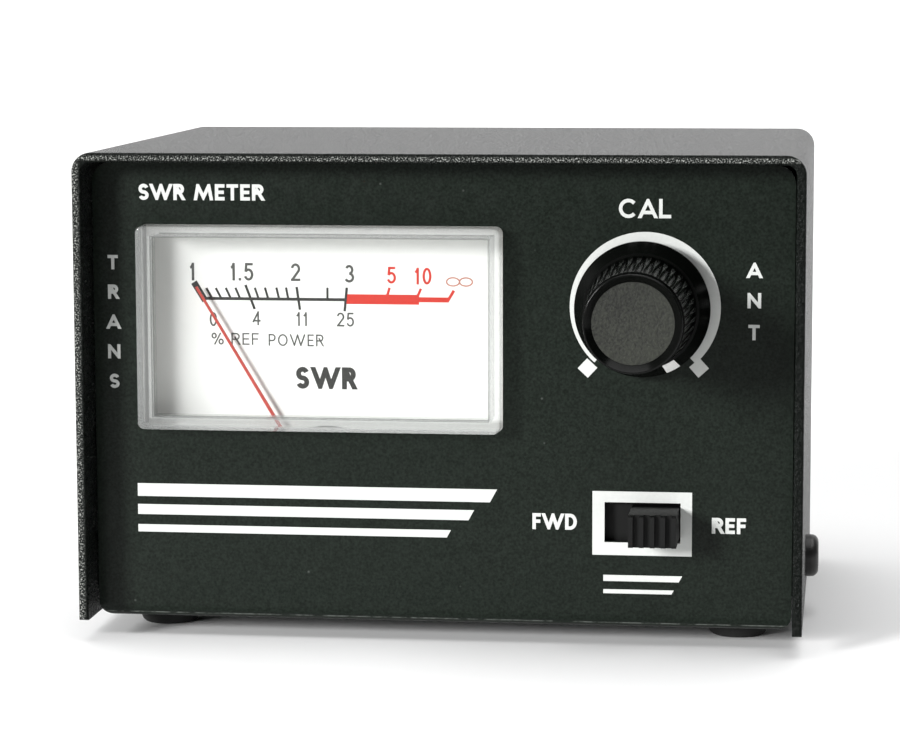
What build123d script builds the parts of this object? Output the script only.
from build123d import *
import os
from math import cos, radians, sin, tan

# Desktop standing-wave-ratio meter.
# +X is to the right as seen from the front, the front faces -Y and +Z is up.
# The origin is on the table, under the middle of the case.

# ---------------------------------------------------------------- case
COVER_WIDTH = 105.0
COVER_DEPTH = 80.0
COVER_HEIGHT = 68.3
COVER_SHEET = 1.4
COVER_BEND = 2.8
COVER_EDGE_ROUND = 0.35
CHASSIS_SHEET = 1.2
CHASSIS_BEND = 2.0
CHASSIS_CORNER = 2.4
CHASSIS_DROP = 0.5
FRONT_RECESS = 6.0
REAR_RECESS = 3.0
SHEET_GAP = 0.2
TOP_GAP = 0.3
TAB_WIDTH = 16.0
TAB_HEIGHT = 11.0
TAB_ROUND = 2.5

# ---------------------------------------------------------------- feet and side screws
FOOT_HEIGHT = 2.8
FOOT_RADIUS = 4.8
FOOT_TIP_RADIUS = 4.0
FOOT_ROUND = 0.9
FOOT_NECK_RADIUS = 1.9
FOOT_BARB_RADIUS = 2.7
FOOT_BARB_LENGTH = 1.4
FOOT_SETBACK = 18.0
FOOT_INSET = 9.7
SCREW_SETBACK = 34.0
SCREW_RISE = 5.6
SCREW_RADIUS = 1.5
SCREW_HEAD_RADIUS = 3.2
SCREW_HEAD_HEIGHT = 1.9
SCREW_HEAD_ROUND = 1.1
SCREW_CROSS_WIDTH = 0.65
SCREW_CROSS_LENGTH = 3.2
SCREW_CROSS_DEPTH = 1.1
SCREW_LENGTH = 6.0
THREAD_FIT = 0.02
PANEL_GAP = 0.1

# ---------------------------------------------------------------- meter case
METER_X = -17.4
PIVOT_RISE = 16.35
WINDOW_WIDTH = 53.0
WINDOW_HEIGHT = 29.6
WINDOW_CENTRE_RISE = 42.75
WINDOW_PROUD = 3.5
WINDOW_WALL = 1.5
WINDOW_CORNER = 1.0
WINDOW_EDGE_ROUND = 0.4
FLANGE_WIDTH = 2.6
FLANGE_SHEET = 1.2
TAPE_THICKNESS = 0.8
TAPE_WIDTH = 2.2
METER_CORNER = 2.0
HOUSING_WALL = 1.5
TRAY_DEPTH = 9.8
DRUM_DEPTH = 14.5
DRUM_WALL = 1.3
POST_RADIUS = 1.9
POST_OFFSET = 21.0
POST_RISE = 3.0

# ---------------------------------------------------------------- meter movement
POINTER_SWING = 62.0
POINTER_LENGTH = 37.1
POINTER_WIDTH = 0.5
POINTER_TIP_WIDTH = 0.35
POINTER_THICKNESS = 0.3
POINTER_ARM_WIDTH = 0.8
POINTER_CRANK_RADIUS = 8.5
POINTER_HUB_RADIUS = 1.2
POINTER_HUB_THICKNESS = 0.8
POINTER_COIL_GAP = 1.9
POINTER_BEHIND_FLANGE = 0.65
POINTER_CLEARANCE = 1.25
DIAL_THICKNESS = 0.5
DIAL_MARGIN = 0.8
DIAL_NOTCH_RADIUS = 11.3
DIAL_FOOT = 3.6
BRIDGE_SHEET = 1.0
BRIDGE_WIDTH = 5.0
BRIDGE_MARGIN = 0.3
BRIDGE_DIAL_GAP = 0.5
BRIDGE_POST_RADIUS = 1.3
BRIDGE_POST_LENGTH = 4.6
YOKE_RADIUS = 10.0
YOKE_BORE_RADIUS = 8.0
YOKE_LENGTH = 10.0
YOKE_DRUM_GAP = 1.6
MAGNET_RADIUS = 5.5
MAGNET_INSET = 0.5
HOLDER_ANGLE = 36.0
HOLDER_INSET = 2.0
COIL_BORE = 6.0
FORMER_THICKNESS = 0.4
WINDING_THICKNESS = 0.9
COIL_WIDTH = 3.6
WINDING_WIDTH = 3.0
COIL_END_GAP = 0.7
STAFF_RADIUS = 0.4
STAFF_TIP_LENGTH = 0.6
STAFF_TIP_RADIUS = 0.08
JEWEL_RADIUS = 1.2
JEWEL_LENGTH = 1.7
JEWEL_PROUD = 0.2
JEWEL_CUP_RADIUS = 0.6
JEWEL_CUP_DEPTH = 0.5
PIVOT_GAP = 0.05
SPRING_WIDTH = 0.3
SPRING_STRIP = 0.12
SPRING_PITCH = 0.55
SPRING_TURNS = 4
SPRING_INNER_RADIUS = 0.9
SPRING_STAFF_GAP = 0.8
WEIGHT_RADIUS = 0.7
WEIGHT_LENGTH = 1.4
WEIGHT_ARM = 5.0
SMALL_SCREW_RADIUS = 0.6
SMALL_HEAD_RADIUS = 1.1
SMALL_HEAD_HEIGHT = 0.6
SMALL_SCREW_GRIP = 2.0
TERMINAL_OFFSET = 7.5
TERMINAL_RADIUS = 1.2
TERMINAL_HEAD_RADIUS = 2.0
TERMINAL_HEAD_HEIGHT = 0.8
TERMINAL_REACH = 3.0

# ---------------------------------------------------------------- CAL control
CONTROL_X = 29.4
KNOB_RISE = 46.2
BUSH_RADIUS = 3.5
BUSH_LENGTH = 6.4
BUSH_CHAMFER = 0.2
BUSH_PLATE_RADIUS = 8.4
BUSH_PLATE_SHEET = 1.0
SHAFT_RADIUS = 3.0
SHAFT_RUNNING_GAP = 0.05
SHAFT_FLAT_DEPTH = 1.5
SHAFT_FLAT_LENGTH = 9.0
FLAT_LEAD_IN = 1.0
WAFER_THICKNESS = 1.2
WAFER_RADIUS = 8.0
WAFER_TONGUE_WIDTH = 14.0
WAFER_TONGUE_REACH = 12.0
CAN_RADIUS = 8.4
CAN_DEPTH = 5.6
CAN_SHEET = 0.5
WIPER_RADIUS = 5.6
WIPER_THICKNESS = 1.2
WIPER_GAP = 0.4
WIPER_ARM_WIDTH = 1.6
POT_PIN_PITCH = 5.0
POT_PIN_WIDTH = 1.2
POT_PIN_SHEET = 0.4
POT_PIN_TAIL = 1.0
WASHER_RADIUS = 5.9
WASHER_SHEET = 0.5
NUT_HEIGHT = 2.0
NUT_ACROSS_FLATS = 10.0
KNOB_BASE_GAP = 2.0
KNOB_HEIGHT = 20.0
SKIRT_RADIUS = 9.7
SKIRT_RIM = 0.7
SKIRT_RISE = 2.6
GRIP_BASE_RADIUS = 7.9
GRIP_TIP_RADIUS = 7.05
RIM_HEIGHT = 1.5
RIM_RADIUS = 6.85
RIM_LAND = 0.25
RIM_OUTER_ROUND = 0.2
DISH_RADIUS = 5.7
DISH_DEPTH = 0.9
CAP_GAP = 0.04
CAP_THICKNESS = 0.8
FLUTE_COUNT = 38
FLUTE_RADIUS = 0.34
KNOB_CAVITY_RADIUS = 6.3
KNOB_CAVITY_DEPTH = 4.2
KNOB_SOCKET_DEPTH = 12.0

# ---------------------------------------------------------------- FWD/REF switch
SWITCH_RISE = 15.05
SLOT_WIDTH = 11.0
SLOT_HEIGHT = 5.8
SLIDER_WIDTH = 6.8
SLIDER_HEIGHT = 4.7
SLIDER_PROUD = 8.0
SLIDER_END_GAP = 0.2
SLIDER_CORNER = 0.5
RIB_COUNT = 5
RIB_WIDTH = 0.66
RIB_DEPTH = 0.8
FRAME_SHEET = 0.5
FRAME_SLOT_MARGIN = 0.2
SHUTTER_OVERLAP = 0.8
SHUTTER_HEIGHT = 8.0
SHUTTER_THICKNESS = 1.2
SHUTTER_GAP = 0.1
SWITCH_HEIGHT = 10.0
SWITCH_DEPTH = 6.4
SWITCH_BASE_THICKNESS = 2.4
SWITCH_PIN_PITCH = 3.8
SWITCH_PIN_ROW = 2.1
SWITCH_PIN_RADIUS = 0.4
SWITCH_PIN_HEAD_RADIUS = 0.9
SWITCH_PIN_HEAD_HEIGHT = 0.3
SWITCH_PIN_TAIL = 1.0
CONTACT_SHEET = 0.3
CONTACT_GAP = 0.15

# ---------------------------------------------------------------- control board
CONTROL_BOARD_STANDOFF = 9.5
CONTROL_BOARD_WIDTH = 26.0
CONTROL_BOARD_MARGIN = 5.0
BOARD_THICKNESS = 1.6
BOARD_HOLE_GAP = 0.1
BOARD_CORNER = 1.0

# ---------------------------------------------------------------- coaxial sockets
SOCKET_SPACING = 52.0
SOCKET_RISE = 34.7
SOCKET_FLANGE = 25.4
SOCKET_FLANGE_SHEET = 1.8
SOCKET_FLANGE_CORNER = 1.5
SOCKET_THREAD_RADIUS = 7.94
SOCKET_THREAD_PITCH = 1.058
SOCKET_THREAD_DEPTH = 0.45
SOCKET_THREAD_TURNS = 12
SOCKET_REACH = 19.0
SOCKET_COLLAR = 2.4
SOCKET_BORE_RADIUS = 6.1
SOCKET_BORE_DEPTH = 10.0
INSULATOR_RADIUS = 5.8
SOCKET_BOSS_RADIUS = 7.8
SOCKET_BOSS_LENGTH = 3.5
SOCKET_HOLE_GAP = 0.3
SOCKET_NOTCH_WIDTH = 2.0
SOCKET_NOTCH_DEPTH = 1.2
SOCKET_SCREW_SPACING = 18.2
SOCKET_SCREW_LENGTH = 6.0
SOCKET_SCREW_HEAD_RADIUS = 2.8
SOCKET_NUT_ACROSS_FLATS = 5.5
SOCKET_NUT_HEIGHT = 2.4
INSULATOR_TAIL = 0.5
CONTACT_RADIUS = 2.6
CONTACT_BORE_RADIUS = 2.05
CONTACT_BORE_DEPTH = 11.0
CONTACT_SLIT_WIDTH = 0.5
CONTACT_SLIT_LENGTH = 5.0
CONTACT_TAIL_RADIUS = 1.6
CONTACT_TAIL_PROUD = 0.8

# ---------------------------------------------------------------- coupler board
COUPLER_STANDOFF = 10.0
COUPLER_MARGIN = 10.0
COUPLER_EDGE = 1.0
COUPLER_HEIGHT = 24.0
TRACK_THICKNESS = 0.12
THROUGH_LINE_WIDTH = 3.0
PAD_RADIUS = 3.6
SENSE_LINE_WIDTH = 1.2
SENSE_LINE_OFFSET = 4.6
SENSE_LINE_LENGTH = 32.0
SENSE_LINE_FOOT = 3.6
TAG_SHEET = 0.5
TAG_WIDTH = 4.0
TAG_REACH = 4.2
LEAD_RADIUS = 0.3
LEAD_STANDOFF = 1.9
DIODE_RADIUS = 0.9
DIODE_LENGTH = 3.8
RESISTOR_RADIUS = 1.2
RESISTOR_LENGTH = 5.6
CAPACITOR_RADIUS = 2.4
CAPACITOR_THICKNESS = 1.6
CAPACITOR_LEAD_PITCH = 2.5
WIRE_RADIUS = 0.6
WIRE_STRAIGHT = 9.0
WIRE_PITCH = 3.0
WIRE_SAG = 3.0
WIRE_START_X = 6.0
WIRE_START_RISE = 8.0
ARC_SHARE = 0.45

# ---------------------------------------------------------------- places worked out from the sizes
cover_front = -COVER_DEPTH / 2
cover_back = COVER_DEPTH / 2
floor_bottom = FOOT_HEIGHT
floor_top = floor_bottom + CHASSIS_SHEET
cover_edge = floor_bottom + CHASSIS_DROP
cover_top = cover_edge + COVER_HEIGHT
half_cover = COVER_WIDTH / 2
half_chassis = half_cover - COVER_SHEET - SHEET_GAP
panel_top = cover_top - COVER_SHEET - TOP_GAP
panel_front = cover_front + FRONT_RECESS
panel_back = panel_front + CHASSIS_SHEET
rear_outside = cover_back - REAR_RECESS
rear_inside = rear_outside - CHASSIS_SHEET
screw_y = cover_front + SCREW_SETBACK
screw_z = cover_edge + SCREW_RISE

pivot_z = cover_edge + PIVOT_RISE
window_z = cover_edge + WINDOW_CENTRE_RISE
window_front = panel_front - WINDOW_PROUD
flange_front = panel_back + TAPE_THICKNESS
flange_back = flange_front + FLANGE_SHEET
meter_width = WINDOW_WIDTH + 2 * FLANGE_WIDTH
meter_top = window_z + WINDOW_HEIGHT / 2 + FLANGE_WIDTH
drum_inner_radius = YOKE_RADIUS + YOKE_DRUM_GAP
drum_radius = drum_inner_radius + DRUM_WALL
meter_bottom = pivot_z - drum_radius
meter_height = meter_top - meter_bottom
meter_z = (meter_top + meter_bottom) / 2
tray_back = flange_back + TRAY_DEPTH
drum_back = tray_back + DRUM_DEPTH
drum_inside = drum_back - HOUSING_WALL
pointer_y = flange_back + POINTER_BEHIND_FLANGE + POINTER_THICKNESS / 2
dial_front = pointer_y + POINTER_THICKNESS / 2 + POINTER_CLEARANCE
dial_back = dial_front + DIAL_THICKNESS
front_bridge_y = dial_back + BRIDGE_DIAL_GAP
front_bridge_back = front_bridge_y + BRIDGE_SHEET
yoke_front = front_bridge_back + BRIDGE_POST_LENGTH
yoke_back = yoke_front + YOKE_LENGTH
bridge_post_offset = (YOKE_RADIUS + YOKE_BORE_RADIUS) / 2
rear_bridge_y = drum_inside - BRIDGE_SHEET
former_front = yoke_front + MAGNET_INSET - COIL_END_GAP - FORMER_THICKNESS
former_back = yoke_back - MAGNET_INSET + COIL_END_GAP + FORMER_THICKNESS
coil_front = former_front - WINDING_THICKNESS
coil_back = former_back + WINDING_THICKNESS
front_jewel_seat = front_bridge_back + JEWEL_PROUD
rear_jewel_seat = rear_bridge_y - JEWEL_PROUD
pointer_root_y = coil_front - POINTER_COIL_GAP

knob_z = cover_edge + KNOB_RISE
wafer_front = panel_back + BUSH_PLATE_SHEET
wafer_back = wafer_front + WAFER_THICKNESS
can_back = wafer_back + CAN_DEPTH
wiper_front = wafer_back + WIPER_GAP
knob_back = panel_front - KNOB_BASE_GAP
knob_front = knob_back - KNOB_HEIGHT

switch_z = cover_edge + SWITCH_RISE
slider_travel = SLOT_WIDTH - SLIDER_WIDTH - 2 * SLIDER_END_GAP
slider_x = CONTROL_X + slider_travel / 2
shutter_width = SLIDER_WIDTH + 2 * (slider_travel + SLIDER_END_GAP + SHUTTER_OVERLAP)
switch_width = shutter_width + slider_travel + 2 * (FRAME_SHEET + SHUTTER_GAP)
shutter_front = panel_back + FRAME_SHEET + SHUTTER_GAP
shutter_back = shutter_front + SHUTTER_THICKNESS
switch_back = panel_back + SWITCH_DEPTH
switch_base_front = switch_back - SWITCH_BASE_THICKNESS

control_board_front = panel_back + CONTROL_BOARD_STANDOFF
control_board_back = control_board_front + BOARD_THICKNESS
control_board_bottom = switch_z - SWITCH_HEIGHT / 2 - CONTROL_BOARD_MARGIN
control_board_top = knob_z + CAN_RADIUS + CONTROL_BOARD_MARGIN

socket_z = cover_edge + SOCKET_RISE
flange_outside = rear_outside + SOCKET_FLANGE_SHEET
socket_mouth = rear_outside + SOCKET_REACH
insulator_back = socket_mouth - SOCKET_BORE_DEPTH
insulator_front = rear_outside - SOCKET_BOSS_LENGTH - INSULATOR_TAIL
coupler_back = rear_inside - COUPLER_STANDOFF
coupler_front = coupler_back - BOARD_THICKNESS
track_front = coupler_front - TRACK_THICKNESS
coupler_width = SOCKET_SPACING + 2 * COUPLER_MARGIN


def facing_front(depth):
    """A plane at this depth whose sketches read as seen from the front; +amount extrudes towards -Y."""
    return Plane.XZ.offset(-depth)


def meter_plane(depth, angle=0.0):
    """A front-facing plane on the meter's pivot, its +y along a pointer that leans left by angle."""
    tilt = radians(angle)
    return Plane(origin=(METER_X, depth, pivot_z), x_dir=(cos(tilt), 0, sin(tilt)), z_dir=(0, -1, 0))


def shaft_plane(depth):
    return Plane(origin=(CONTROL_X, depth, knob_z), x_dir=(1, 0, 0), z_dir=(0, -1, 0))


def socket_plane(x, depth):
    return Plane(origin=(x, depth, socket_z), x_dir=(1, 0, 0), z_dir=(0, -1, 0))


REST_LEAN = POINTER_SWING / 2
SIDES = (-1, 1)
SOCKETS = {"transmitter": -SOCKET_SPACING / 2, "antenna": SOCKET_SPACING / 2}
PARTS = {}


def keep(name, part):
    """Labels a finished piece and keeps it for export."""
    part.label = name
    PARTS[name] = part


# ================================================================ cover
with BuildPart() as cover:
    with BuildSketch(facing_front(cover_back)):
        with BuildLine():
            outline = FilletPolyline(
                (-half_cover, cover_edge),
                (-half_cover, cover_top),
                (half_cover, cover_top),
                (half_cover, cover_edge),
                radius=COVER_BEND,
            )
            offset(outline, amount=COVER_SHEET, side=Side.RIGHT, kind=Kind.TANGENT)
        make_face()
    extrude(amount=COVER_DEPTH)
    end_faces = faces().filter_by(Axis.Y)
    fillet(end_faces.edges(), radius=COVER_EDGE_ROUND)
    with Locations(Plane.YZ.offset(half_cover) * Pos(screw_y, screw_z)):
        Hole(SCREW_RADIUS + SHEET_GAP, depth=COVER_WIDTH)
keep("cover", cover.part)

# ================================================================ chassis
with BuildPart() as chassis:
    with BuildSketch(Plane.YZ):
        with BuildLine():
            outline = FilletPolyline(
                (panel_front, panel_top),
                (panel_front, floor_bottom),
                (rear_outside, floor_bottom),
                (rear_outside, panel_top),
                radius=CHASSIS_BEND,
            )
            offset(outline, amount=CHASSIS_SHEET, side=Side.LEFT, kind=Kind.TANGENT)
        make_face()
    extrude(amount=half_chassis, both=True)
    for side in SIDES:
        # Side tab that the cover is screwed to.
        tab_inside = side * (half_chassis - CHASSIS_SHEET)
        with BuildSketch(Plane.YZ.offset(min(tab_inside, side * half_chassis))):
            with Locations((screw_y, floor_bottom + TAB_HEIGHT / 2)):
                Rectangle(TAB_WIDTH, TAB_HEIGHT)
            tab_tops = vertices().group_by(Axis.Y)[-1]
            fillet(tab_tops, radius=TAB_ROUND)
        extrude(amount=CHASSIS_SHEET)
    # Seen from the front the blank's four corners are rounded, the top pair to clear the cover's bends.
    with BuildSketch(facing_front(rear_outside)) as front_outline:
        with Locations((0, (panel_top + floor_bottom) / 2)):
            Rectangle(2 * half_chassis, panel_top - floor_bottom)
        fillet(front_outline.vertices().group_by(Axis.Y)[0], radius=CHASSIS_CORNER)
        fillet(front_outline.vertices().group_by(Axis.Y)[-1], radius=COVER_BEND)
    extrude(amount=rear_outside - panel_front, mode=Mode.INTERSECT)
    with Locations(Plane.YZ.offset(half_chassis) * Pos(screw_y, screw_z)):
        Hole(SCREW_RADIUS + THREAD_FIT, depth=2 * half_chassis)
    # Front panel openings.
    with BuildSketch(facing_front(panel_back)):
        with Locations((METER_X, window_z)):
            RectangleRounded(WINDOW_WIDTH + 2 * PANEL_GAP, WINDOW_HEIGHT + 2 * PANEL_GAP, WINDOW_CORNER)
        with Locations((CONTROL_X, knob_z)):
            Circle(BUSH_RADIUS + PANEL_GAP)
        with Locations((CONTROL_X, switch_z)):
            Rectangle(SLOT_WIDTH, SLOT_HEIGHT)
    extrude(amount=CHASSIS_SHEET, mode=Mode.SUBTRACT)
    # Rear panel openings.
    with BuildSketch(facing_front(rear_outside)):
        for x in SOCKETS.values():
            with Locations((x, socket_z)):
                Circle(SOCKET_BOSS_RADIUS + SOCKET_HOLE_GAP)
                with GridLocations(SOCKET_SCREW_SPACING, SOCKET_SCREW_SPACING, 2, 2):
                    Circle(SCREW_RADIUS + PANEL_GAP)
    extrude(amount=CHASSIS_SHEET, mode=Mode.SUBTRACT)
    # Holes for the feet.
    foot_span_x = COVER_WIDTH - 2 * FOOT_INSET
    foot_span_y = COVER_DEPTH - 2 * FOOT_SETBACK
    with BuildSketch(Plane.XY.offset(floor_bottom)):
        with GridLocations(foot_span_x, foot_span_y, 2, 2):
            Circle(FOOT_NECK_RADIUS + PANEL_GAP)
    extrude(amount=CHASSIS_SHEET, mode=Mode.SUBTRACT)
keep("chassis", chassis.part)

# ================================================================ cover screws and feet
with BuildPart() as side_screw:
    with BuildSketch(Plane.XY):
        Circle(SCREW_HEAD_RADIUS)
    extrude(amount=SCREW_HEAD_HEIGHT)
    fillet(faces().sort_by(Axis.Z)[-1].edges(), radius=SCREW_HEAD_ROUND)
    with BuildSketch(Plane.XY):
        Circle(SCREW_RADIUS)
    extrude(amount=-SCREW_LENGTH)
    with BuildSketch(Plane.XY.offset(SCREW_HEAD_HEIGHT)):
        Rectangle(SCREW_CROSS_LENGTH, SCREW_CROSS_WIDTH)
        Rectangle(SCREW_CROSS_WIDTH, SCREW_CROSS_LENGTH)
    extrude(amount=-SCREW_CROSS_DEPTH, mode=Mode.SUBTRACT)

with BuildPart() as cover_screws:
    for side in SIDES:
        seat = Plane(origin=(side * half_cover, screw_y, screw_z), x_dir=(0, 1, 0), z_dir=(side, 0, 0))
        add(seat * side_screw.part)
keep("cover_screws", cover_screws.part)

with BuildPart() as foot:
    with BuildSketch(Plane.XZ):
        with BuildLine():
            Polyline(
                (0, 0),
                (FOOT_TIP_RADIUS, 0),
                (FOOT_RADIUS, FOOT_HEIGHT - FOOT_ROUND),
                (FOOT_RADIUS, FOOT_HEIGHT),
                (FOOT_NECK_RADIUS, FOOT_HEIGHT),
                (FOOT_NECK_RADIUS, floor_top),
                (FOOT_BARB_RADIUS, floor_top),
                (FOOT_NECK_RADIUS, floor_top + FOOT_BARB_LENGTH),
                (0, floor_top + FOOT_BARB_LENGTH),
                close=True,
            )
        make_face()
    revolve(axis=Axis.Z)
    fillet(edges().group_by(Axis.Z)[0], radius=FOOT_ROUND)

with BuildPart() as feet:
    with GridLocations(foot_span_x, foot_span_y, 2, 2):
        add(foot.part)
keep("feet", feet.part)

# ================================================================ meter window, tape and housing
with BuildPart() as meter_window:
    with BuildSketch(facing_front(flange_back)):
        with Locations((METER_X, meter_z)):
            RectangleRounded(meter_width, meter_height, METER_CORNER)
    extrude(amount=FLANGE_SHEET)
    with BuildSketch(facing_front(flange_back)):
        with Locations((METER_X, window_z)):
            RectangleRounded(WINDOW_WIDTH, WINDOW_HEIGHT, WINDOW_CORNER)
    extrude(amount=flange_back - window_front)
    fillet(faces().sort_by(Axis.Y)[0].edges(), radius=WINDOW_EDGE_ROUND)
    with BuildSketch(facing_front(flange_back)):
        with Locations((METER_X, window_z)):
            Rectangle(WINDOW_WIDTH - 2 * WINDOW_WALL, WINDOW_HEIGHT - 2 * WINDOW_WALL)
    extrude(amount=flange_back - window_front - WINDOW_WALL, mode=Mode.SUBTRACT)
keep("meter_window", meter_window.part)

with BuildPart() as meter_tape:
    with BuildSketch(facing_front(flange_front)):
        with Locations((METER_X, window_z)):
            Rectangle(WINDOW_WIDTH + 2 * TAPE_WIDTH, WINDOW_HEIGHT + 2 * TAPE_WIDTH)
            Rectangle(WINDOW_WIDTH + 4 * PANEL_GAP, WINDOW_HEIGHT + 4 * PANEL_GAP, mode=Mode.SUBTRACT)
    extrude(amount=TAPE_THICKNESS)
keep("meter_tape", meter_tape.part)

post_spots = [(side * POST_OFFSET, POST_RISE) for side in SIDES]
terminal_spots = [(side * TERMINAL_OFFSET, 0) for side in SIDES]
rear_post_spots = [(0, side * bridge_post_offset) for side in SIDES]
front_post_spots = [(side * bridge_post_offset, 0) for side in SIDES]
with BuildPart() as meter_housing:
    with BuildSketch(facing_front(tray_back)):
        with Locations((METER_X, meter_z)):
            RectangleRounded(meter_width, meter_height, METER_CORNER)
    extrude(amount=TRAY_DEPTH)
    with BuildSketch(meter_plane(drum_back)):
        Circle(drum_radius)
    extrude(amount=DRUM_DEPTH)
    with BuildSketch(facing_front(tray_back - HOUSING_WALL)):
        with Locations((METER_X, meter_z)):
            Rectangle(meter_width - 2 * HOUSING_WALL, meter_height - 2 * HOUSING_WALL)
    extrude(amount=TRAY_DEPTH - HOUSING_WALL, mode=Mode.SUBTRACT)
    with BuildSketch(meter_plane(drum_inside)):
        Circle(drum_inner_radius)
    extrude(amount=drum_inside - flange_back, mode=Mode.SUBTRACT)
    # Posts that carry the dial plate.
    with BuildSketch(meter_plane(tray_back - HOUSING_WALL)):
        with Locations(*post_spots):
            Circle(POST_RADIUS)
            Circle(SMALL_SCREW_RADIUS + THREAD_FIT, mode=Mode.SUBTRACT)
    extrude(amount=tray_back - HOUSING_WALL - dial_back)
    with BuildSketch(meter_plane(drum_back)):
        with Locations(*terminal_spots):
            Circle(TERMINAL_RADIUS + THREAD_FIT)
        with Locations(*rear_post_spots):
            Circle(SMALL_SCREW_RADIUS + THREAD_FIT)
        Circle(JEWEL_RADIUS + THREAD_FIT)
    extrude(amount=HOUSING_WALL, mode=Mode.SUBTRACT)
keep("meter_housing", meter_housing.part)

# ================================================================ dial plate
dial_top = meter_top - HOUSING_WALL - DIAL_MARGIN
dial_bottom = pivot_z + POST_RISE - DIAL_FOOT
with BuildPart() as dial_plate:
    with BuildSketch(facing_front(dial_back)):
        with Locations((METER_X, (dial_top + dial_bottom) / 2)):
            Rectangle(meter_width - 2 * HOUSING_WALL - 2 * DIAL_MARGIN, dial_top - dial_bottom)
        with Locations((METER_X, pivot_z)):
            Circle(DIAL_NOTCH_RADIUS, mode=Mode.SUBTRACT)
            with Locations(*post_spots):
                Circle(SMALL_SCREW_RADIUS + THREAD_FIT, mode=Mode.SUBTRACT)
    extrude(amount=DIAL_THICKNESS)
keep("dial_plate", dial_plate.part)

with BuildPart() as dial_screws:
    with BuildSketch(meter_plane(dial_front)):
        with Locations(*post_spots):
            Circle(SMALL_HEAD_RADIUS)
    extrude(amount=SMALL_HEAD_HEIGHT)
    with BuildSketch(meter_plane(dial_front)):
        with Locations(*post_spots):
            Circle(SMALL_SCREW_RADIUS)
    extrude(amount=-(DIAL_THICKNESS + SMALL_SCREW_GRIP))
    with BuildSketch(meter_plane(dial_front - SMALL_HEAD_HEIGHT)):
        with Locations(*post_spots):
            Rectangle(2 * SMALL_HEAD_RADIUS, SMALL_HEAD_HEIGHT / 2)
    extrude(amount=-SMALL_HEAD_HEIGHT / 2, mode=Mode.SUBTRACT)
keep("dial_screws", dial_screws.part)

# ================================================================ magnet system
with BuildPart() as yoke_ring:
    with BuildSketch(meter_plane(yoke_back)):
        Circle(YOKE_RADIUS)
        Circle(YOKE_BORE_RADIUS, mode=Mode.SUBTRACT)
    extrude(amount=YOKE_LENGTH)
    with BuildSketch(meter_plane(yoke_front + SMALL_SCREW_GRIP)):
        with Locations(*front_post_spots):
            Circle(SMALL_SCREW_RADIUS + THREAD_FIT)
    extrude(amount=SMALL_SCREW_GRIP, mode=Mode.SUBTRACT)
    with BuildSketch(meter_plane(yoke_back)):
        with Locations(*rear_post_spots):
            Circle(SMALL_SCREW_RADIUS + THREAD_FIT)
    extrude(amount=SMALL_SCREW_GRIP, mode=Mode.SUBTRACT)
keep("yoke_ring", yoke_ring.part)

with BuildPart() as core_magnet:
    with BuildSketch(meter_plane(yoke_back - MAGNET_INSET)):
        Circle(MAGNET_RADIUS)
    extrude(amount=YOKE_LENGTH - 2 * MAGNET_INSET)
keep("core_magnet", core_magnet.part)

with BuildPart() as core_holders:
    with BuildSketch(meter_plane(yoke_back - HOLDER_INSET)):
        for side in SIDES:
            start = side * 90 - HOLDER_ANGLE / 2
            with BuildLine():
                inner = CenterArc((0, 0), MAGNET_RADIUS, start, HOLDER_ANGLE)
                outer = CenterArc((0, 0), YOKE_BORE_RADIUS, start, HOLDER_ANGLE)
                Line(inner @ 0, outer @ 0)
                Line(inner @ 1, outer @ 1)
            make_face()
    extrude(amount=YOKE_LENGTH - 2 * HOLDER_INSET)
keep("core_holders", core_holders.part)

with BuildPart() as front_bridge:
    with BuildSketch(meter_plane(front_bridge_back)):
        SlotOverall(2 * bridge_post_offset + BRIDGE_WIDTH, BRIDGE_WIDTH)
        Circle(JEWEL_RADIUS + THREAD_FIT, mode=Mode.SUBTRACT)
    extrude(amount=BRIDGE_SHEET)
    with BuildSketch(meter_plane(yoke_front)):
        with Locations(*front_post_spots):
            Circle(BRIDGE_POST_RADIUS)
    extrude(amount=yoke_front - front_bridge_back)
    with BuildSketch(meter_plane(yoke_front)):
        with Locations(*front_post_spots):
            Circle(SMALL_SCREW_RADIUS + THREAD_FIT)
    extrude(amount=yoke_front - front_bridge_y, mode=Mode.SUBTRACT)
keep("front_bridge", front_bridge.part)

with BuildPart() as rear_bridge:
    with BuildSketch(meter_plane(drum_inside)):
        SlotOverall(2 * (bridge_post_offset + BRIDGE_POST_RADIUS + BRIDGE_MARGIN), BRIDGE_WIDTH, rotation=90)
        Circle(JEWEL_RADIUS + THREAD_FIT, mode=Mode.SUBTRACT)
    extrude(amount=BRIDGE_SHEET)
    with BuildSketch(meter_plane(rear_bridge_y)):
        with Locations(*rear_post_spots):
            Circle(BRIDGE_POST_RADIUS)
    extrude(amount=rear_bridge_y - yoke_back)
    with BuildSketch(meter_plane(drum_inside)):
        with Locations(*rear_post_spots):
            Circle(SMALL_SCREW_RADIUS + THREAD_FIT)
    extrude(amount=drum_inside - yoke_back, mode=Mode.SUBTRACT)
keep("rear_bridge", rear_bridge.part)

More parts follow.
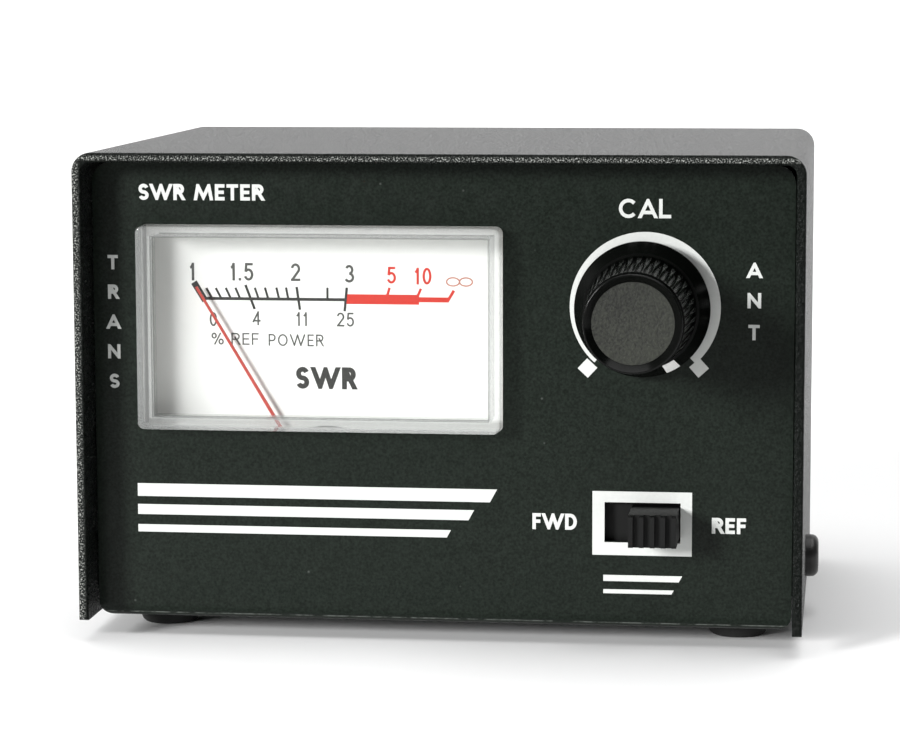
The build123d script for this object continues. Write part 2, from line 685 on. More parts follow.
with BuildPart() as bridge_screws:
    # The front pair holds the front bridge, the rear pair holds the whole movement to the drum.
    with BuildSketch(meter_plane(front_bridge_y)):
        with Locations(*front_post_spots):
            Circle(SMALL_HEAD_RADIUS)
    extrude(amount=SMALL_HEAD_HEIGHT)
    with BuildSketch(meter_plane(front_bridge_y)):
        with Locations(*front_post_spots):
            Circle(SMALL_SCREW_RADIUS)
    extrude(amount=-(yoke_front + SMALL_SCREW_GRIP - front_bridge_y))
    with BuildSketch(meter_plane(drum_back)):
        with Locations(*rear_post_spots):
            Circle(SMALL_HEAD_RADIUS)
    extrude(amount=-SMALL_HEAD_HEIGHT)
    with BuildSketch(meter_plane(drum_back)):
        with Locations(*rear_post_spots):
            Circle(SMALL_SCREW_RADIUS)
    extrude(amount=drum_back - yoke_back + SMALL_SCREW_GRIP)
keep("bridge_screws", bridge_screws.part)


def jewel_screw(seat, length, towards_front):
    """A screw whose cup holds a pivot tip. The cup opens at depth seat."""
    with BuildPart() as screw:
        with BuildSketch(meter_plane(seat)):
            Circle(JEWEL_RADIUS)
        extrude(amount=length if towards_front else -length)
        with BuildSketch(meter_plane(seat)):
            Circle(JEWEL_CUP_RADIUS)
        extrude(amount=JEWEL_CUP_DEPTH if towards_front else -JEWEL_CUP_DEPTH, mode=Mode.SUBTRACT)
    return screw.part


with BuildPart() as jewel_screws:
    add(jewel_screw(front_jewel_seat, JEWEL_LENGTH, True))
    add(jewel_screw(rear_jewel_seat, JEWEL_LENGTH, False))
keep("jewel_screws", jewel_screws.part)

# ================================================================ moving coil and pointer, at the left stop
former_half = COIL_BORE + FORMER_THICKNESS
winding_half = former_half + WINDING_THICKNESS


def coil_ring(front, back, half_width, thickness, width):
    """A rectangular ring round the core, as wide along the pointer as width."""
    with BuildPart() as ring:
        with BuildSketch(meter_plane(back, REST_LEAN)):
            Rectangle(2 * half_width, width)
        extrude(amount=back - front)
        with BuildSketch(meter_plane(back - thickness, REST_LEAN)):
            Rectangle(2 * (half_width - thickness), width)
        extrude(amount=back - front - 2 * thickness, mode=Mode.SUBTRACT)
    return ring.part


keep("coil_former", coil_ring(former_front, former_back, former_half, FORMER_THICKNESS, COIL_WIDTH))
keep("coil_winding", coil_ring(coil_front, coil_back, winding_half, WINDING_THICKNESS, WINDING_WIDTH))


def staff(base, tip, towards_front):
    """A short pivot from the coil's end to a point in its jewel."""
    length = abs(tip - base)
    with BuildPart() as pivot:
        with BuildSketch(meter_plane(base)):
            Circle(STAFF_RADIUS)
        extrude(amount=(length - STAFF_TIP_LENGTH) * (1 if towards_front else -1))
        shoulder = base - (length - STAFF_TIP_LENGTH) * (1 if towards_front else -1)
        with BuildSketch(meter_plane(shoulder)):
            Circle(STAFF_RADIUS)
        with BuildSketch(meter_plane(tip)):
            Circle(STAFF_TIP_RADIUS)
        loft()
    return pivot.part


front_tip = front_jewel_seat - JEWEL_CUP_DEPTH + PIVOT_GAP
rear_tip = rear_jewel_seat + JEWEL_CUP_DEPTH - PIVOT_GAP
with BuildPart() as pivot_staffs:
    add(staff(coil_front, front_tip, True))
    add(staff(coil_back, rear_tip, False))
keep("pivot_staffs", pivot_staffs.part)

root_back = pointer_root_y + POINTER_THICKNESS / 2
needle_back = pointer_y + POINTER_THICKNESS / 2
with BuildPart() as pointer:
    with BuildSketch(meter_plane(pointer_root_y + POINTER_HUB_THICKNESS / 2)):
        Circle(POINTER_HUB_RADIUS)
    extrude(amount=POINTER_HUB_THICKNESS)
    with BuildSketch(meter_plane(root_back, REST_LEAN)):
        with Locations((0, (POINTER_CRANK_RADIUS - WEIGHT_ARM) / 2)):
            Rectangle(POINTER_ARM_WIDTH, POINTER_CRANK_RADIUS + WEIGHT_ARM)
        Rectangle(2 * WEIGHT_ARM, POINTER_ARM_WIDTH)
    extrude(amount=POINTER_THICKNESS)
    # The crank carries the needle forward through the dial plate's notch.
    with BuildSketch(meter_plane(root_back, REST_LEAN)):
        with Locations((0, POINTER_CRANK_RADIUS - POINTER_THICKNESS / 2)):
            Rectangle(POINTER_ARM_WIDTH, POINTER_THICKNESS)
    extrude(amount=root_back - pointer_y + POINTER_THICKNESS / 2)
    with BuildSketch(meter_plane(needle_back, REST_LEAN)):
        with BuildLine():
            Polyline(
                (-POINTER_WIDTH / 2, POINTER_CRANK_RADIUS - POINTER_THICKNESS),
                (POINTER_WIDTH / 2, POINTER_CRANK_RADIUS - POINTER_THICKNESS),
                (POINTER_TIP_WIDTH / 2, POINTER_LENGTH),
                (-POINTER_TIP_WIDTH / 2, POINTER_LENGTH),
                close=True,
            )
        make_face()
    extrude(amount=POINTER_THICKNESS)
    with BuildSketch(meter_plane(pointer_root_y + POINTER_HUB_THICKNESS / 2)):
        Circle(STAFF_RADIUS + THREAD_FIT)
    extrude(amount=POINTER_HUB_THICKNESS, mode=Mode.SUBTRACT)
keep("pointer", pointer.part)

weight_back = pointer_root_y - POINTER_THICKNESS / 2
with BuildPart() as balance_weights:
    with BuildSketch(meter_plane(weight_back, REST_LEAN)):
        with Locations((0, -WEIGHT_ARM + WEIGHT_RADIUS), (-WEIGHT_ARM + WEIGHT_RADIUS, 0)):
            Circle(WEIGHT_RADIUS)
        with Locations((WEIGHT_ARM - WEIGHT_RADIUS, 0)):
            Circle(WEIGHT_RADIUS)
    extrude(amount=WEIGHT_LENGTH / 2)
keep("balance_weights", balance_weights.part)


def spiral_point(turn):
    """A point of the hairspring's spiral after this many turns from its inner end."""
    angle = 360 * turn
    radius = SPRING_INNER_RADIUS + SPRING_PITCH * turn
    return (radius * cos(radians(angle)), radius * sin(radians(angle)))


def hairspring(depth):
    """A flat spiral strip in half-turn arcs, its outer end a straight tail."""
    half_turns = 2 * SPRING_TURNS
    with BuildPart() as spring:
        with BuildSketch(meter_plane(depth)):
            with BuildLine() as spiral:
                for half in range(half_turns):
                    ThreePointArc(
                        spiral_point(half / 2), spiral_point(half / 2 + 1 / 4), spiral_point(half / 2 + 1 / 2)
                    )
            trace(spiral.line, line_width=SPRING_STRIP)
        extrude(amount=SPRING_WIDTH)
    return spring.part


keep("front_hairspring", hairspring(coil_front - SPRING_STAFF_GAP))
keep("rear_hairspring", hairspring(coil_back + SPRING_STAFF_GAP + SPRING_WIDTH))

with BuildPart() as meter_terminals:
    with BuildSketch(meter_plane(drum_inside)):
        with Locations(*terminal_spots):
            Circle(TERMINAL_HEAD_RADIUS)
    extrude(amount=TERMINAL_HEAD_HEIGHT)
    with BuildSketch(meter_plane(drum_inside)):
        with Locations(*terminal_spots):
            Circle(TERMINAL_RADIUS)
    extrude(amount=-(HOUSING_WALL + TERMINAL_REACH))
keep("meter_terminals", meter_terminals.part)

# ================================================================ CAL potentiometer
with BuildPart() as pot_bush:
    with BuildSketch(shaft_plane(wafer_front)):
        Circle(BUSH_PLATE_RADIUS)
    extrude(amount=BUSH_PLATE_SHEET)
    with BuildSketch(shaft_plane(panel_back)):
        Circle(BUSH_RADIUS)
    extrude(amount=BUSH_LENGTH)
    chamfer(faces().sort_by(Axis.Y)[0].edges().sort_by(SortBy.RADIUS)[-1], length=BUSH_CHAMFER)
    with BuildSketch(shaft_plane(wafer_front)):
        Circle(SHAFT_RADIUS + SHAFT_RUNNING_GAP)
    extrude(amount=BUSH_LENGTH + BUSH_PLATE_SHEET, mode=Mode.SUBTRACT)
keep("pot_bush", pot_bush.part)

with BuildPart() as pot_washer:
    with BuildSketch(shaft_plane(panel_front)):
        Circle(WASHER_RADIUS)
        Circle(BUSH_RADIUS + PANEL_GAP, mode=Mode.SUBTRACT)
    extrude(amount=WASHER_SHEET)
keep("pot_washer", pot_washer.part)

nut_seat = panel_front - WASHER_SHEET
with BuildPart() as pot_nut:
    with BuildSketch(shaft_plane(nut_seat)):
        RegularPolygon(NUT_ACROSS_FLATS / 2, 6, major_radius=False)
        Circle(BUSH_RADIUS + THREAD_FIT, mode=Mode.SUBTRACT)
    extrude(amount=NUT_HEIGHT)
keep("pot_nut", pot_nut.part)

pin_spots = [((k - 1) * POT_PIN_PITCH, -WAFER_TONGUE_REACH + POT_PIN_WIDTH) for k in range(3)]
with BuildPart() as pot_wafer:
    with BuildSketch(shaft_plane(wafer_back)):
        Circle(WAFER_RADIUS)
        with Locations((0, -WAFER_TONGUE_REACH / 2)):
            Rectangle(WAFER_TONGUE_WIDTH, WAFER_TONGUE_REACH)
        Circle(SHAFT_RADIUS + PANEL_GAP, mode=Mode.SUBTRACT)
        with Locations(*pin_spots):
            Rectangle(POT_PIN_WIDTH + 2 * THREAD_FIT, POT_PIN_SHEET + 2 * THREAD_FIT, mode=Mode.SUBTRACT)
    extrude(amount=WAFER_THICKNESS)
keep("pot_wafer", pot_wafer.part)

with BuildPart() as pot_pins:
    with BuildSketch(shaft_plane(control_board_back + POT_PIN_TAIL)):
        with Locations(*pin_spots):
            Rectangle(POT_PIN_WIDTH, POT_PIN_SHEET)
    extrude(amount=control_board_back + POT_PIN_TAIL - wafer_front)
keep("pot_pins", pot_pins.part)

with BuildPart() as pot_can:
    with BuildSketch(shaft_plane(can_back)):
        Circle(CAN_RADIUS)
    extrude(amount=CAN_DEPTH)
    fillet(faces().sort_by(Axis.Y)[-1].edges(), radius=CAN_SHEET)
    with BuildSketch(shaft_plane(can_back - CAN_SHEET)):
        Circle(CAN_RADIUS - CAN_SHEET)
    extrude(amount=CAN_DEPTH, mode=Mode.SUBTRACT)
keep("pot_can", pot_can.part)

shaft_front = knob_back - KNOB_SOCKET_DEPTH + THREAD_FIT
shaft_back = wiper_front + WIPER_THICKNESS

with BuildPart() as pot_shaft:
    with BuildSketch(shaft_plane(shaft_back)):
        Circle(SHAFT_RADIUS)
    extrude(amount=shaft_back - shaft_front)
    with BuildSketch(shaft_plane(shaft_front + SHAFT_FLAT_LENGTH)):
        with Locations((0, SHAFT_RADIUS - SHAFT_FLAT_DEPTH / 2)):
            Rectangle(2 * SHAFT_RADIUS, SHAFT_FLAT_DEPTH)
    extrude(amount=SHAFT_FLAT_LENGTH, mode=Mode.SUBTRACT)
keep("pot_shaft", pot_shaft.part)

with BuildPart() as pot_wiper:
    with BuildSketch(shaft_plane(wiper_front + WIPER_THICKNESS)):
        Circle(WIPER_RADIUS)
        Circle(SHAFT_RADIUS + THREAD_FIT, mode=Mode.SUBTRACT)
    extrude(amount=WIPER_THICKNESS)
    # The contact spring leans out towards the resistive track on the wafer.
    with BuildSketch(shaft_plane(wiper_front)):
        with Locations((0, -(WIPER_RADIUS + SHAFT_RADIUS) / 2)):
            Rectangle(WIPER_ARM_WIDTH, (WIPER_RADIUS - SHAFT_RADIUS) / 2)
    extrude(amount=WIPER_GAP - SHUTTER_GAP)
keep("pot_wiper", pot_wiper.part)

# ================================================================ CAL knob
skirt_top = knob_back - SKIRT_RIM - SKIRT_RISE
rim_back = knob_front + RIM_HEIGHT
dish_y = knob_front + DISH_DEPTH
cap_pocket_y = dish_y + CAP_THICKNESS
with BuildPart() as cal_knob:
    with BuildSketch(Plane(origin=(CONTROL_X, 0, knob_z), x_dir=(1, 0, 0), z_dir=(0, 0, 1))):
        with BuildLine():
            Polyline(
                (0, knob_back),
                (SKIRT_RADIUS, knob_back),
                (SKIRT_RADIUS, knob_back - SKIRT_RIM),
                (GRIP_BASE_RADIUS + FLUTE_RADIUS, skirt_top),
                (GRIP_BASE_RADIUS, skirt_top),
                (GRIP_TIP_RADIUS, rim_back),
                (RIM_RADIUS, rim_back),
                (RIM_RADIUS, knob_front),
                (RIM_RADIUS - RIM_LAND, knob_front),
                (DISH_RADIUS + CAP_GAP, dish_y),
                (DISH_RADIUS + CAP_GAP, cap_pocket_y),
                (0, cap_pocket_y),
                close=True,
            )
        make_face()
    revolve(axis=Axis((CONTROL_X, 0, knob_z), (0, 1, 0)))
    rim_edges = edges().filter_by(GeomType.CIRCLE)
    fillet(rim_edges.group_by(Axis.Y)[0].sort_by(SortBy.RADIUS)[-1], radius=RIM_OUTER_ROUND)
    # Flutes run up the tapered grip.
    for k in range(FLUTE_COUNT):
        around = 360 / FLUTE_COUNT * k
        outward = (cos(radians(around)), 0, sin(radians(around)))
        base = Vector(CONTROL_X, skirt_top, knob_z) + Vector(*outward) * GRIP_BASE_RADIUS
        tip = Vector(CONTROL_X, rim_back, knob_z) + Vector(*outward) * GRIP_TIP_RADIUS
        with BuildSketch(Plane(origin=base, z_dir=tip - base)):
            Circle(FLUTE_RADIUS)
        extrude(amount=(tip - base).length, mode=Mode.SUBTRACT)
    # Hollow behind the skirt for the nut, then the socket for the shaft with its flat.
    with BuildSketch(shaft_plane(knob_back)):
        Circle(KNOB_CAVITY_RADIUS)
    extrude(amount=KNOB_CAVITY_DEPTH, mode=Mode.SUBTRACT)
    flat_back = shaft_front + SHAFT_FLAT_LENGTH - FLAT_LEAD_IN
    with BuildSketch(shaft_plane(knob_back)):
        Circle(SHAFT_RADIUS + THREAD_FIT)
    extrude(amount=knob_back - flat_back, mode=Mode.SUBTRACT)
    with BuildSketch(shaft_plane(flat_back)):
        Circle(SHAFT_RADIUS + THREAD_FIT)
        with Locations((0, SHAFT_RADIUS - SHAFT_FLAT_DEPTH / 2 + THREAD_FIT)):
            Rectangle(2 * SHAFT_RADIUS, SHAFT_FLAT_DEPTH, mode=Mode.SUBTRACT)
    extrude(amount=flat_back - shaft_front + THREAD_FIT, mode=Mode.SUBTRACT)
keep("cal_knob", cal_knob.part)

with BuildPart() as knob_cap:
    with BuildSketch(shaft_plane(cap_pocket_y)):
        Circle(DISH_RADIUS)
    extrude(amount=CAP_THICKNESS)
keep("knob_cap", knob_cap.part)

# ================================================================ FWD/REF slide switch
with BuildPart() as switch_frame:
    with BuildSketch(facing_front(switch_back)):
        with Locations((CONTROL_X, switch_z)):
            Rectangle(switch_width, SWITCH_HEIGHT)
    extrude(amount=SWITCH_DEPTH)
    fillet(edges().filter_by(Axis.X).group_by(Axis.Y)[0], radius=FRAME_SHEET)
    with BuildSketch(facing_front(switch_back)):
        with Locations((CONTROL_X, switch_z)):
            Rectangle(switch_width, SWITCH_HEIGHT - 2 * FRAME_SHEET)
    extrude(amount=SWITCH_DEPTH - FRAME_SHEET, mode=Mode.SUBTRACT)
    with BuildSketch(facing_front(panel_back + FRAME_SHEET)):
        with Locations((CONTROL_X, switch_z)):
            Rectangle(SLOT_WIDTH + 2 * FRAME_SLOT_MARGIN, SLOT_HEIGHT + 2 * FRAME_SLOT_MARGIN)
    extrude(amount=FRAME_SHEET, mode=Mode.SUBTRACT)
keep("switch_frame", switch_frame.part)

pin_columns = [(k - 1) * SWITCH_PIN_PITCH for k in range(3)]
switch_pin_spots = [(CONTROL_X + x, switch_z + row * SWITCH_PIN_ROW) for x in pin_columns for row in SIDES]
with BuildPart() as switch_base:
    with BuildSketch(facing_front(switch_back)):
        with Locations((CONTROL_X, switch_z)):
            Rectangle(switch_width, SWITCH_HEIGHT - 2 * FRAME_SHEET)
        with Locations(*switch_pin_spots):
            Circle(SWITCH_PIN_RADIUS + THREAD_FIT, mode=Mode.SUBTRACT)
    extrude(amount=SWITCH_BASE_THICKNESS)
keep("switch_base", switch_base.part)

with BuildPart() as switch_pins:
    with BuildSketch(facing_front(switch_base_front)):
        with Locations(*switch_pin_spots):
            Circle(SWITCH_PIN_HEAD_RADIUS)
    extrude(amount=SWITCH_PIN_HEAD_HEIGHT)
    with BuildSketch(facing_front(control_board_back + SWITCH_PIN_TAIL)):
        with Locations(*switch_pin_spots):
            Circle(SWITCH_PIN_RADIUS)
    extrude(amount=control_board_back + SWITCH_PIN_TAIL - switch_base_front)
keep("switch_pins", switch_pins.part)

slider_front = panel_front - SLIDER_PROUD
rib_pitch = (SLIDER_WIDTH - RIB_WIDTH) / (RIB_COUNT - 1)
groove_width = rib_pitch - RIB_WIDTH
with BuildPart() as switch_slider:
    with BuildSketch(facing_front(shutter_back)):
        with Locations((slider_x, switch_z)):
            Rectangle(shutter_width, SHUTTER_HEIGHT)
    extrude(amount=SHUTTER_THICKNESS)
    with BuildSketch(facing_front(shutter_back)):
        with Locations((slider_x, switch_z)):
            Rectangle(SLIDER_WIDTH, SLIDER_HEIGHT)
    extrude(amount=shutter_back - slider_front)
    fillet(edges().filter_by(Axis.X).group_by(Axis.Y)[0], radius=SLIDER_CORNER)
    # Grooves across the front leave the finger ribs.
    with BuildSketch(facing_front(slider_front + RIB_DEPTH)):
        for k in range(RIB_COUNT - 1):
            groove_x = slider_x + (k - (RIB_COUNT - 2) / 2) * rib_pitch
            with Locations((groove_x, switch_z)):
                Rectangle(groove_width, SLIDER_HEIGHT)
    extrude(amount=RIB_DEPTH, mode=Mode.SUBTRACT)
keep("switch_slider", switch_slider.part)

contact_back = switch_base_front - SWITCH_PIN_HEAD_HEIGHT - CONTACT_GAP
with BuildPart() as switch_contacts:
    with BuildSketch(facing_front(contact_back)):
        for row in SIDES:
            with Locations((slider_x, switch_z + row * SWITCH_PIN_ROW)):
                Rectangle(SWITCH_PIN_PITCH + 2 * SWITCH_PIN_HEAD_RADIUS, 2 * SWITCH_PIN_HEAD_RADIUS)
    extrude(amount=contact_back - shutter_back)
    with BuildSketch(facing_front(contact_back - CONTACT_SHEET)):
        for row in SIDES:
            with Locations((slider_x, switch_z + row * SWITCH_PIN_ROW)):
                Rectangle(SWITCH_PIN_PITCH, 2 * SWITCH_PIN_HEAD_RADIUS)
    extrude(amount=contact_back - shutter_back - 2 * CONTACT_SHEET, mode=Mode.SUBTRACT)
keep("switch_contacts", switch_contacts.part)

# ================================================================ control board
board_height = control_board_top - control_board_bottom
board_z = (control_board_top + control_board_bottom) / 2
with BuildPart() as control_board:
    with BuildSketch(facing_front(control_board_back)):
        with Locations((CONTROL_X, board_z)):
            RectangleRounded(CONTROL_BOARD_WIDTH, board_height, BOARD_CORNER)
        with Locations(*switch_pin_spots):
            Circle(SWITCH_PIN_RADIUS + BOARD_HOLE_GAP, mode=Mode.SUBTRACT)
        for x, z in pin_spots:
            with Locations((CONTROL_X + x, knob_z + z)):
                pin_hole = (POT_PIN_WIDTH + 2 * BOARD_HOLE_GAP, POT_PIN_SHEET + 2 * BOARD_HOLE_GAP)
                Rectangle(*pin_hole, mode=Mode.SUBTRACT)
    extrude(amount=BOARD_THICKNESS)
keep("control_board", control_board.part)


# ================================================================ coaxial sockets
def socket_shell(x):
    """Square flange, threaded barrel with notches in its mouth, and the boss through the rear panel."""
    thread_start = socket_mouth - SOCKET_COLLAR / 2
    flank = SOCKET_THREAD_PITCH / 2
    with BuildPart() as shell:
        with BuildSketch(socket_plane(x, flange_outside)):
            RectangleRounded(SOCKET_FLANGE, SOCKET_FLANGE, SOCKET_FLANGE_CORNER)
        extrude(amount=SOCKET_FLANGE_SHEET)
        with BuildSketch(Plane(origin=(x, 0, socket_z), x_dir=(1, 0, 0), z_dir=(0, 0, 1))):
            with BuildLine():
                crests = [(SOCKET_THREAD_RADIUS, thread_start)]
                for k in range(SOCKET_THREAD_TURNS):
                    turn = thread_start - k * SOCKET_THREAD_PITCH
                    crests.append((SOCKET_THREAD_RADIUS - SOCKET_THREAD_DEPTH, turn - flank))
                    crests.append((SOCKET_THREAD_RADIUS, turn - 2 * flank))
                Polyline(
                    (0, socket_mouth),
                    (SOCKET_THREAD_RADIUS - SOCKET_THREAD_DEPTH, socket_mouth),
                    *crests,
                    (SOCKET_THREAD_RADIUS, flange_outside),
                    (SOCKET_THREAD_RADIUS, rear_outside),
                    (0, rear_outside),
                    close=True,
                )
            make_face()
        revolve(axis=Axis((x, 0, socket_z), (0, 1, 0)))
        with BuildSketch(socket_plane(x, rear_outside)):
            Circle(SOCKET_BOSS_RADIUS)
        extrude(amount=SOCKET_BOSS_LENGTH)
        with BuildSketch(socket_plane(x, socket_mouth)):
            Circle(SOCKET_BORE_RADIUS)
        extrude(amount=SOCKET_BORE_DEPTH, mode=Mode.SUBTRACT)
        with BuildSketch(socket_plane(x, insulator_back)):
            Circle(INSULATOR_RADIUS)
        extrude(amount=insulator_back - rear_outside + SOCKET_BOSS_LENGTH, mode=Mode.SUBTRACT)
        with BuildSketch(socket_plane(x, flange_outside)):
            with GridLocations(SOCKET_SCREW_SPACING, SOCKET_SCREW_SPACING, 2, 2):
                Circle(SCREW_RADIUS + PANEL_GAP)
        extrude(amount=SOCKET_FLANGE_SHEET, mode=Mode.SUBTRACT)
        with BuildSketch(socket_plane(x, socket_mouth)):
            Rectangle(4 * SOCKET_THREAD_RADIUS, SOCKET_NOTCH_WIDTH)
            Rectangle(SOCKET_NOTCH_WIDTH, 4 * SOCKET_THREAD_RADIUS)
        extrude(amount=SOCKET_NOTCH_DEPTH, mode=Mode.SUBTRACT)
    return shell.part


def socket_insulator(x):
    with BuildPart() as insulator:
        with BuildSketch(socket_plane(x, insulator_back)):
            Circle(INSULATOR_RADIUS)
            Circle(CONTACT_RADIUS, mode=Mode.SUBTRACT)
        extrude(amount=insulator_back - insulator_front)
    return insulator.part


def socket_contact(x):
    """Sleeve for the plug's pin, slit at its mouth, with a tail that is soldered to the coupler board."""
    with BuildPart() as contact:
        with BuildSketch(socket_plane(x, insulator_back)):
            Circle(CONTACT_RADIUS)
        extrude(amount=insulator_back - insulator_front)
        with BuildSketch(socket_plane(x, insulator_front)):
            Circle(CONTACT_TAIL_RADIUS)
        extrude(amount=insulator_front - coupler_front + CONTACT_TAIL_PROUD)
        with BuildSketch(socket_plane(x, insulator_back)):
            Circle(CONTACT_BORE_RADIUS)
        extrude(amount=CONTACT_BORE_DEPTH, mode=Mode.SUBTRACT)
        with BuildSketch(socket_plane(x, insulator_back)):
            Rectangle(2 * CONTACT_RADIUS, CONTACT_SLIT_WIDTH)
            Rectangle(CONTACT_SLIT_WIDTH, 2 * CONTACT_RADIUS)
        extrude(amount=CONTACT_SLIT_LENGTH, mode=Mode.SUBTRACT)
    return contact.part


for socket_name, socket_x in SOCKETS.items():
    keep(f"{socket_name}_socket_shell", socket_shell(socket_x))
    keep(f"{socket_name}_socket_insulator", socket_insulator(socket_x))
    keep(f"{socket_name}_socket_contact", socket_contact(socket_x))

socket_screw_spots = []
for socket_x in SOCKETS.values():
    for dx in SIDES:
        for dz in SIDES:
            spot = (socket_x + dx * SOCKET_SCREW_SPACING / 2, socket_z + dz * SOCKET_SCREW_SPACING / 2)
            socket_screw_spots.append(spot)


def holds_tag(x, z):
    """The lower screw of each socket that is nearer the middle clamps a ground tag."""
    return z < socket_z and abs(x) < SOCKET_SPACING / 2


with BuildPart() as socket_screw:
    with BuildSketch(Plane.XY):
        Circle(SOCKET_SCREW_HEAD_RADIUS)
    extrude(amount=SCREW_HEAD_HEIGHT)
    fillet(faces().sort_by(Axis.Z)[-1].edges(), radius=SCREW_HEAD_ROUND)
    with BuildSketch(Plane.XY):
        Circle(SCREW_RADIUS)
    extrude(amount=-(SOCKET_FLANGE_SHEET + SOCKET_SCREW_LENGTH))
    with BuildSketch(Plane.XY.offset(SCREW_HEAD_HEIGHT)):
        Rectangle(SCREW_CROSS_LENGTH, SCREW_CROSS_WIDTH)
        Rectangle(SCREW_CROSS_WIDTH, SCREW_CROSS_LENGTH)
    extrude(amount=-SCREW_CROSS_DEPTH, mode=Mode.SUBTRACT)

with BuildPart() as socket_screws:
    for x, z in socket_screw_spots:
        add(Plane(origin=(x, flange_outside, z), x_dir=(1, 0, 0), z_dir=(0, 1, 0)) * socket_screw.part)
keep("socket_screws", socket_screws.part)

with BuildPart() as socket_nuts:
    for x, z in socket_screw_spots:
        seat = rear_inside - (TAG_SHEET if holds_tag(x, z) else 0)
        with BuildSketch(facing_front(seat)):
            with Locations((x, z)):
                RegularPolygon(SOCKET_NUT_ACROSS_FLATS / 2, 6, major_radius=False)
                Circle(SCREW_RADIUS + THREAD_FIT, mode=Mode.SUBTRACT)
        extrude(amount=SOCKET_NUT_HEIGHT)
keep("socket_nuts", socket_nuts.part)

with BuildPart() as ground_tags:
    for x, z in socket_screw_spots:
        if holds_tag(x, z):
            inward = -1 if x > 0 else 1
            with BuildSketch(facing_front(rear_inside)):
                with Locations((x, z)):
                    Circle(SOCKET_SCREW_HEAD_RADIUS)
                with Locations((x + inward * TAG_REACH / 2, z)):
                    Rectangle(TAG_REACH, TAG_WIDTH)
                with Locations((x, z)):
                    Circle(SCREW_RADIUS + PANEL_GAP, mode=Mode.SUBTRACT)
            extrude(amount=TAG_SHEET)
            with BuildSketch(facing_front(rear_inside)):
                with Locations((x + inward * (TAG_REACH - TAG_SHEET / 2), z)):
                    Rectangle(TAG_SHEET, TAG_WIDTH)
            extrude(amount=rear_inside - coupler_back)
keep("ground_tags", ground_tags.part)

# ================================================================ coupler board
with BuildPart() as coupler_board:
    with BuildSketch(facing_front(coupler_back)):
        with Locations((0, socket_z)):
            RectangleRounded(coupler_width, COUPLER_HEIGHT, BOARD_CORNER)
            with GridLocations(SOCKET_SPACING, 0, 2, 1):
                Circle(CONTACT_TAIL_RADIUS + BOARD_HOLE_GAP, mode=Mode.SUBTRACT)
    extrude(amount=BOARD_THICKNESS)
keep("coupler_board", coupler_board.part)

with BuildPart() as through_line:
    with BuildSketch(facing_front(coupler_front)):
        with Locations((0, socket_z)):
            Rectangle(SOCKET_SPACING, THROUGH_LINE_WIDTH)
            with GridLocations(SOCKET_SPACING, 0, 2, 1):
                Circle(PAD_RADIUS)
                Circle(CONTACT_TAIL_RADIUS + BOARD_HOLE_GAP, mode=Mode.SUBTRACT)
    extrude(amount=TRACK_THICKNESS)
keep("through_line", through_line.part)

sense_end = SENSE_LINE_LENGTH / 2
with BuildPart() as sense_lines:
    for row in SIDES:
        with BuildSketch(facing_front(coupler_front)):
            with Locations((0, socket_z + row * SENSE_LINE_OFFSET)):
                Rectangle(SENSE_LINE_LENGTH, SENSE_LINE_WIDTH)
            foot_z = socket_z + row * (SENSE_LINE_OFFSET + SENSE_LINE_FOOT / 2)
            with Locations(*[(end * (sense_end - SENSE_LINE_WIDTH / 2), foot_z) for end in SIDES]):
                Rectangle(SENSE_LINE_WIDTH, SENSE_LINE_FOOT)
        extrude(amount=TRACK_THICKNESS)
keep("sense_lines", sense_lines.part)


def axial_component(radius, length, start_z, end_z, x):
    """A small cylinder lying above the board, on two leads that stand on the tracks at start_z and end_z."""
    middle = (start_z + end_z) / 2
    axis_y = track_front - LEAD_STANDOFF
    with BuildPart() as component:
        with BuildSketch(Plane.XY.offset(middle)):
            with Locations((x, axis_y)):
                Circle(radius)
        extrude(amount=length / 2, both=True)
        fillet(edges().filter_by(GeomType.CIRCLE), radius=radius / 4)
        with BuildSketch(Plane.XY.offset(min(start_z, end_z))):
            with Locations((x, axis_y)):
                Circle(LEAD_RADIUS)
        extrude(amount=abs(end_z - start_z))
        with BuildSketch(facing_front(track_front)):
            with Locations((x, start_z), (x, end_z)):
                Circle(LEAD_RADIUS)
        extrude(amount=LEAD_STANDOFF)
    return component.part


diode_x = sense_end - SENSE_LINE_WIDTH / 2
part_edge = COUPLER_HEIGHT / 2 - COUPLER_EDGE
with BuildPart() as detector_diodes:
    for row in SIDES:
        start = socket_z + row * (SENSE_LINE_OFFSET + LEAD_RADIUS)
        add(axial_component(DIODE_RADIUS, DIODE_LENGTH, start, socket_z + row * part_edge, diode_x))
keep("detector_diodes", detector_diodes.part)

with BuildPart() as load_resistors:
    for row in SIDES:
        start = socket_z + row * (SENSE_LINE_OFFSET + LEAD_RADIUS)
        add(axial_component(RESISTOR_RADIUS, RESISTOR_LENGTH, start, socket_z + row * part_edge, -diode_x))
keep("load_resistors", load_resistors.part)

with BuildPart() as bypass_capacitors:
    for row in SIDES:
        disc_z = socket_z + row * (part_edge - CAPACITOR_RADIUS)
        disc_y = coupler_front - LEAD_STANDOFF - CAPACITOR_RADIUS
        with BuildSketch(Plane.XY.offset(disc_z - CAPACITOR_THICKNESS / 2)):
            with Locations((0, disc_y)):
                Circle(CAPACITOR_RADIUS)
        extrude(amount=CAPACITOR_THICKNESS)
        with BuildSketch(facing_front(coupler_front)):
            with Locations(*[(side * CAPACITOR_LEAD_PITCH / 2, disc_z) for side in SIDES]):
                Circle(LEAD_RADIUS)
        extrude(amount=LEAD_STANDOFF + CAPACITOR_RADIUS)
keep("bypass_capacitors", bypass_capacitors.part)


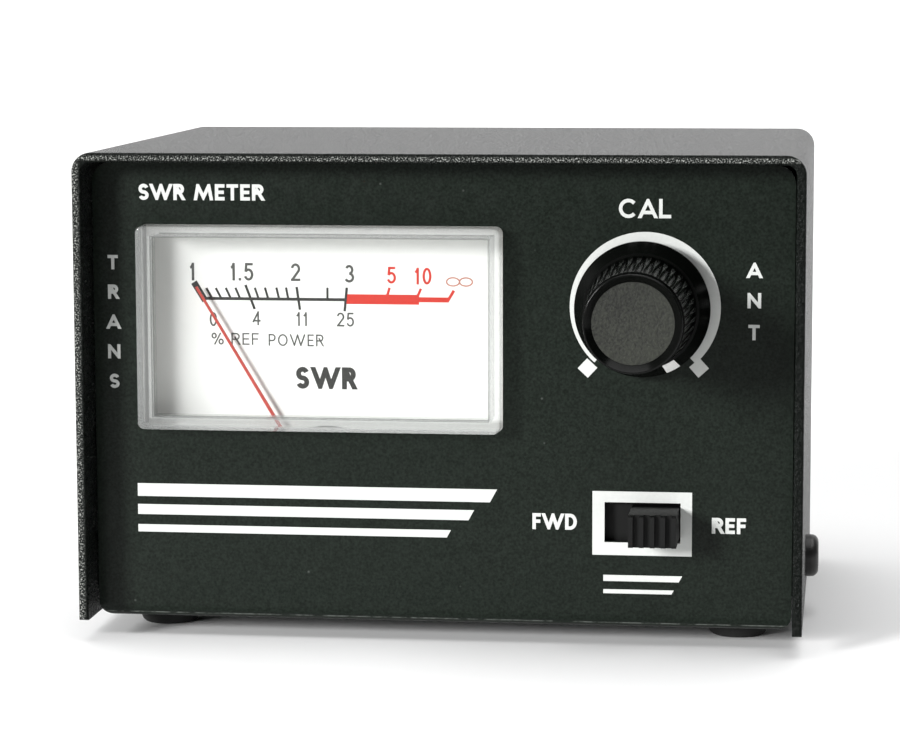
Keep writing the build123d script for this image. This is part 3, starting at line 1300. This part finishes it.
# ================================================================ hook-up wires
def wire(points):
    """A round wire along straight runs joined by tangent arcs, each as large as its two runs allow."""
    stations = [Vector(*point) for point in points]
    radii = []
    for before, here, after in zip(stations, stations[1:], stations[2:]):
        run_in = here - before
        run_out = after - here
        turn = run_in.get_angle(run_out)
        shorter = min(run_in.length, run_out.length)
        radii.append(ARC_SHARE * shorter / tan(radians(turn / 2)))
    with BuildPart() as insulated:
        with BuildLine() as route:
            FilletPolyline(*points, radius=radii)
        with BuildSketch(Plane(origin=route.line @ 0, z_dir=route.line % 0)):
            Circle(WIRE_RADIUS)
        sweep(path=route.line)
    return insulated.part


# The three wires from the coupler leave its front face and land one above the other on the control board.
coupler_wires = ("forward_wire", "reflected_wire", "ground_wire")
middle_y = (coupler_front + control_board_back) / 2
for rank, wire_name in enumerate(coupler_wires):
    start_x = WIRE_START_X + rank * WIRE_PITCH
    start_z = socket_z + WIRE_START_RISE
    end_x = CONTROL_X + (rank - 1) * WIRE_PITCH
    end_z = switch_z + SWITCH_HEIGHT - rank * WIRE_PITCH / 2
    keep(
        wire_name,
        wire(
            [
                (start_x, coupler_front, start_z),
                (start_x, coupler_front - WIRE_STRAIGHT, start_z),
                (start_x + WIRE_PITCH, middle_y, (start_z + end_z) / 2 - WIRE_SAG),
                (end_x, control_board_back + WIRE_STRAIGHT, end_z),
                (end_x, control_board_back, end_z),
            ]
        ),
    )

# The meter's pair runs back from its terminals, then to the right and forward to the control board.
terminal_end = drum_back + TERMINAL_REACH
with BuildPart() as meter_wires:
    for rank, side in enumerate(SIDES):
        lead_x = METER_X + side * TERMINAL_OFFSET
        loop_y = terminal_end + WIRE_STRAIGHT - rank * WIRE_PITCH
        end_x = CONTROL_X - CONTROL_BOARD_WIDTH / 2 + (2 - rank) * WIRE_PITCH / 2
        end_z = pivot_z + (2 - rank) * WIRE_PITCH
        add(
            wire(
                [
                    (lead_x, terminal_end, pivot_z),
                    (lead_x, loop_y, pivot_z),
                    (METER_X + meter_width / 2, loop_y, (pivot_z + end_z) / 2),
                    (end_x, (terminal_end + control_board_back) / 2, end_z),
                    (end_x, control_board_back, end_z),
                ]
            )
        )
keep("meter_wires", meter_wires.part)

# ================================================================ export
os.makedirs("parts", exist_ok=True)
for part_name, part in PARTS.items():
    export_step(part, f"parts/{part_name}.step")
